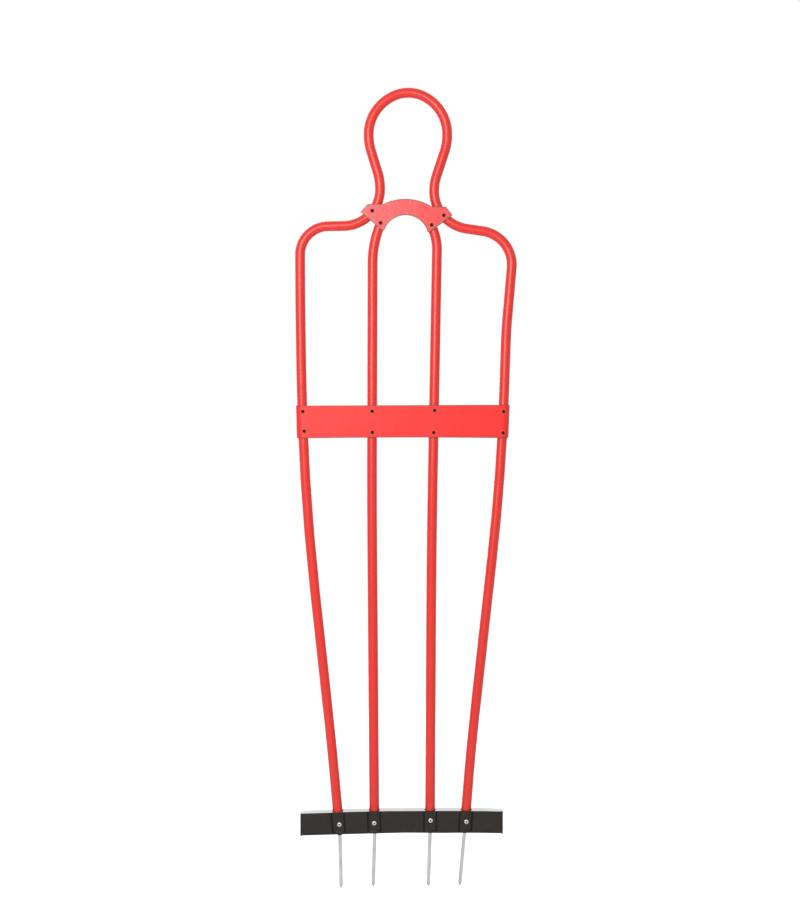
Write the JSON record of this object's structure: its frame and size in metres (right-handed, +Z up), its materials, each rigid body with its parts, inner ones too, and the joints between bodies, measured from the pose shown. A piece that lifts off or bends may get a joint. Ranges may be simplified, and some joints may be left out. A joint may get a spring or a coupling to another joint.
{
  "type": "free kick mannequin",
  "caption": "Flat wall figure of bent plastic tube with head loop, collar plate and chest band, on a foot bar with steel ground spikes.",
  "frame": {"origin": "middle of the foot bar's underside, on the turf line; the spikes go below it", "axes": "+Z up along the figure, +X to the right as seen from the front, -Y to the front, where the rivet heads, collar plate and chest band are"},
  "size_m": [0.4986, 0.0318, 1.7998],
  "materials": {
    "red_tube": "gloss extruded pipe, red all through, fine lines along its length",
    "red_plate": "satin cut sheet, red all through, cut edges darker",
    "black_foot": "smooth satin black moulded plastic",
    "plug": "plain moulded plastic, hidden",
    "spike_steel": "plain drawn steel with a dull ground point",
    "dark_rivet": "dark lacquered blind rivet",
    "bright_rivet": "bright aluminium blind rivet with a steel mandrel end"
  },
  "bodies": {
    "root": {"outer_tube": "red_tube", "inner_tube": "red_tube", "collar_plate": "red_plate", "chest_band": "red_plate", "foot_bar": "black_foot", "foot_end_cap_left": "black_foot", "foot_end_cap_right": "black_foot", "spike_1": "spike_steel", "spike_2": "spike_steel", "spike_3": "spike_steel", "spike_4": "spike_steel", "spike_plug_1": "plug", "spike_plug_2": "plug", "spike_plug_3": "plug", "spike_plug_4": "plug", "collar_rivet_1": "dark_rivet", "collar_rivet_2": "dark_rivet", "collar_rivet_3": "dark_rivet", "collar_rivet_4": "dark_rivet", "band_rivet_upper_1": "dark_rivet", "band_rivet_upper_2": "dark_rivet", "band_rivet_upper_3": "dark_rivet", "band_rivet_upper_4": "dark_rivet", "band_rivet_lower_1": "dark_rivet", "band_rivet_lower_2": "dark_rivet", "band_rivet_lower_3": "dark_rivet", "band_rivet_lower_4": "dark_rivet", "foot_rivet_1": "bright_rivet", "foot_rivet_2": "bright_rivet", "foot_rivet_3": "bright_rivet", "foot_rivet_4": "bright_rivet"}
  },
  "joints": []
}
